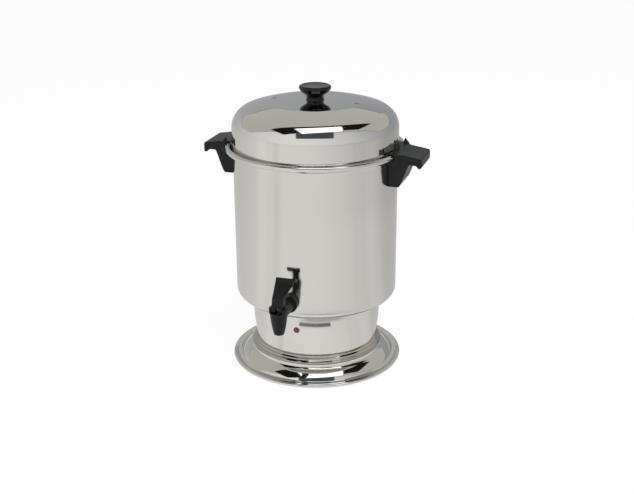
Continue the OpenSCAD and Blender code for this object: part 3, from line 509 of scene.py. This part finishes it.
# --------------------------------------------------------- moulded pieces
# Edges rounded over with voxels of so many millimetres and so many smoothing passes
for node, name, voxel, passes in (
        ("handle_left", "grip_left", 0.9, 5), ("handle_right", "grip_right", 0.9, 5),
        ("tap_body", "spout", 0.45, 5), ("tap_bonnet", "bonnet", 0.35, 4)):
    rounded(NODES[node].data.copy(), name, "urn", node, voxel, passes)

# The lever: a slotted foot and stem, and a flared plate that slopes back and ends in an upturned lip.
# Its side is drawn about its pin.
PIN_Y, PIN_Z, FOOT_R = -176.0, 147.2, 3.6
FOOT_HALF, SLOT_HALF, PLATE_FROM, FOOT_TO = 8.4, 2.3, 4, 9  # half widths, and heights where the two overlap
FLARE, FLARE_START, FLARE_LENGTH = 5.4, -1.0, 27.0          # how much wider the plate gets, and where
lever_side = (
    arc(-6, 0, FOOT_R, 270, 180, 4)
    + [(-8.6, 4.5), (-6.0, 8.0), (-4.6, 13.0), (-3.6, 17.0), (-1.6, 19.6), (2.5, 21.4), (24.0, 29.9)]
    + [(27.2, 31.8), (29.2, 35.4), (30.2, 36.3), (31.4, 35.6), (31.0, 33.0), (29.6, 29.6), (27.0, 27.7)]
    + [(8.0, 20.0), (4.6, 16.6), (3.6, 12.0), (4.4, 6.0)] + arc(0, 0, FOOT_R, 40, -90, 6)
)


def slab(bm, points, sides):
    """A solid of one outline seen from the side; sides gives the x of its two faces at a y."""
    ends = [[bm.verts.new((sides(y)[k] * MM, AXIS_Y + (PIN_Y + y) * MM, (PIN_Z + z) * MM)) for y, z in points]
            for k in (0, 1)]
    for i in range(len(points)):
        j = (i + 1) % len(points)
        bm.faces.new((ends[0][i], ends[0][j], ends[1][j], ends[1][i]))
    for end in ends:
        bmesh.ops.triangulate(bm, faces=[bm.faces.new(end)])


def plate_sides(y):
    """The plate's two sides, at a distance behind the pin."""
    half = FOOT_HALF + FLARE * min(1.0, max(0.0, (y - FLARE_START) / FLARE_LENGTH))
    return -half, half


bm = bmesh.new()
slab(bm, [(y, z) for y, z in lever_side if z >= PLATE_FROM], plate_sides)
for cheek in ((-FOOT_HALF, -SLOT_HALF), (SLOT_HALF, FOOT_HALF)):
    slab(bm, [(y, z) for y, z in lever_side if z < FOOT_TO], lambda y: cheek)
bmesh.ops.recalc_face_normals(bm, faces=bm.faces)
rounded(mesh_of(bm, "lever"), "lever", "lever", "tap_lever", 0.4, 3)

# A copy of the tap's spring, carried by the valve
spring = place(NODES["tap_spring"].data.copy(), "spring", "valve", PLATED, "plated_steel", "tap_spring")
for face in spring.data.polygons:
    face.use_smooth = True
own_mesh(spring)

# The solids that nothing replaces
for solid in NODES.values():
    if not solid.hide_render:
        bm = bmesh.new()
        bm.from_mesh(solid.data)
        smooth(bm, sharp=30.0)
        bm.to_mesh(solid.data)
        bm.free()

# ------------------------------------------------------------------- floor
FLOOR_HALF, FLOOR_GREY = 8.0, (0.88, 0.88, 0.87)
WHITE_SHARE, LOOK_SHARE = 0.93, 0.85  # shares of white for the camera, and of the look below for the steel
bm = bmesh.new()
bmesh.ops.create_grid(bm, x_segments=1, y_segments=1, size=FLOOR_HALF)
floor = in_scene("floor", mesh_of(bm, "floor"))
floor_mat = new_material("floor")
tree = floor_mat.node_tree
tree.nodes.clear()

# Painted light and shade, seen only by glossy rays: how the table looks in the steel, bright in front and to
# the left, dimmer to the right and behind, and dimmer still far off
place_on_floor = term(tree, "NewGeometry", "Position")
rightward, behind, _ = front_facing(place_on_floor, centre=(0, AXIS_Y, 0))
nearer = (behind - AXIS_Y) * -1.0
reach = (rightward * rightward + nearer * nearer).root().at_least(0.01)
toward_us, to_right = nearer / reach, rightward / reach
far_off = above(reach, 0.75, 0.6)
bright = toward_us * 0.35 + (to_right * -0.15 + 0.6) - far_off * (to_right * 0.18 + 0.16)
painted_floor_shading = bright.clamped() * 0.58 + 0.42

# Painted reflections: a dark strip and a grey one beyond it, painted on the table for glossy rays and seen
# only in
# the steel of the housing: the distances from the axis and the places from left to right, each with its soft
# edge, and how dark it is
in_front = (toward_us * 4.0).clamped()
for distances, places, dark in (
        ((0.296, 0.352, 0.010), (-0.160, 0.260, 0.100), 0.55),
        ((0.279, 0.297, 0.002), (-0.130, 0.105, 0.006), 1.0)):
    strip = between(reach, *distances) * between(rightward, *places)
    painted_floor_shading = painted_floor_shading * (1.0 - strip * (in_front * dark))

# Soft upright bands of painted light and shade, by the direction they lie in, in radians to the right of the
# front
azimuth = maths("ARCTAN2", rightward, nearer)
for first_edge, last_edge, soft, gain in (
        (-1.02, -0.80, 0.10, -0.13), (-1.50, -1.12, 0.12, 0.08),
        (0.80, 0.98, 0.10, -0.05), (1.12, 1.75, 0.20, 0.13)):
    painted_floor_shading = painted_floor_shading * (between(azimuth, first_edge, last_edge, soft) * gain + 1.0)

tinted = term(tree, "VectorMath", "Vector", {0: (1.0, 0.995, 0.98), "Scale": painted_floor_shading}, operation="SCALE")
mirrored = term(tree, "Emission", 0, {"Color": tinted})
diffuse = term(tree, "BsdfDiffuse", 0, {"Color": FLOOR_GREY})
white = term(tree, "Emission", 0, {"Color": (1, 1, 1)})
seen = mix_shader(term(tree, "LightPath", "Is Camera Ray") * WHITE_SHARE, diffuse, white)
surface = mix_shader(term(tree, "LightPath", "Is Glossy Ray") * LOOK_SHARE, seen, mirrored)
add(tree, "OutputMaterial", {"Surface": surface})
floor.data.materials.append(floor_mat)

# ----------------------------------------------- studio, seen in the steel
world = bpy.data.worlds.new("studio")
bpy.context.scene.world = world
world.use_nodes = True
tree = world.node_tree
tree.nodes.clear()

# The ceiling is a plane one unit up: right and toward say where a direction meets it, to the right and
# towards the camera
x, y, z = front_facing(term(tree, "TexCoord", "Generated"))
up = z.at_least(0.02)
right, toward = x / up, y * -1.0 / up
# A softbox with slanting ends over the urn, its dark surround and a slate flag that widens to the front
slanted, leaning = toward + right * 0.35, right - toward * 0.4
softbox = above(right, -0.29, 0.02).at_most(below(leaning, 0.40, 0.02)) * between(slanted, -0.13, 0.46, 0.02)
surround = between(right, -0.88, 0.88, 0.06) * between(slanted, -0.32, 0.38, 0.04)
along = right / (toward * 0.395 + 0.217)
flag = between(along, -1.0, 0.94, 0.04) * between(toward, 0.34, 1.5, 0.05)
# A wide panel over all of it, cut back at both sides in front, and its rim
fore = toward + maths("ABSOLUTE", right) * 0.30
panel, rim = (between(right, -half, half, soft) * above(toward, back, 0.03).at_most(below(fore, front, 0.03))
              for half, back, front, soft in ((3.7, -2.2, 0.50, 0.05), (3.85, -2.27, 0.54, 0.04)))
# Walls, bright in front and to the left, by the level part of the direction
flat = (1.0 - z * z).root().at_least(0.02)
lit = (y * -1.0 / flat * 0.45 + (x / flat * -0.25 + 0.5)).clamped()
sky = mix(lit, (0.38, 0.40, 0.42), (1.0, 0.995, 0.985))
for shape, colour in (
        (rim, (0.22, 0.21, 0.20)), (panel, (0.60, 0.585, 0.545)), (surround, (0.01, 0.01, 0.01)),
        (flag, (0.075, 0.09, 0.105)), (softbox, (2.0, 2.0, 2.0))):
    sky = mix(shape, sky, colour)

# Steel sees the studio, the camera and glass a pale backdrop, and all else plain white light
FILL, BACKDROP = 0.62, (0.97, 0.97, 0.97)
plain = term(tree, "Background", 0, {"Color": (1, 1, 1), "Strength": FILL})
studio = term(tree, "Background", 0, {"Color": sky})
backdrop = term(tree, "Background", 0, {"Color": BACKDROP})
light = mix_shader(term(tree, "LightPath", "Is Glossy Ray"), plain, studio)
in_view = term(tree, "LightPath", "Is Camera Ray").at_least(term(tree, "LightPath", "Is Transmission Ray"))
add(tree, "OutputWorld", {"Surface": mix_shader(in_view, light, backdrop)})

# -------------------------------------------------------------------- lamp
LAMP_SIZE, LAMP_WATTS, LAMP_AT, LAMP_AIM = 1.6, 42, (0.55, -0.7, 2.4), (0, AXIS_Y, 0.2)
lamp_data = bpy.data.lights.new("softbox", "AREA")
lamp_data.shape = "RECTANGLE"
lamp_data.size, lamp_data.size_y = LAMP_SIZE, LAMP_SIZE
lamp_data.energy = LAMP_WATTS
lamp = in_scene("softbox", lamp_data)
lamp.location = LAMP_AT
lamp.rotation_mode = "QUATERNION"
lamp.rotation_quaternion = (Vector(LAMP_AIM) - lamp.location).to_track_quat("-Z", "Y")
lamp.visible_glossy = False
lamp.visible_camera = False

bpy.context.scene.view_settings.view_transform = "Standard"
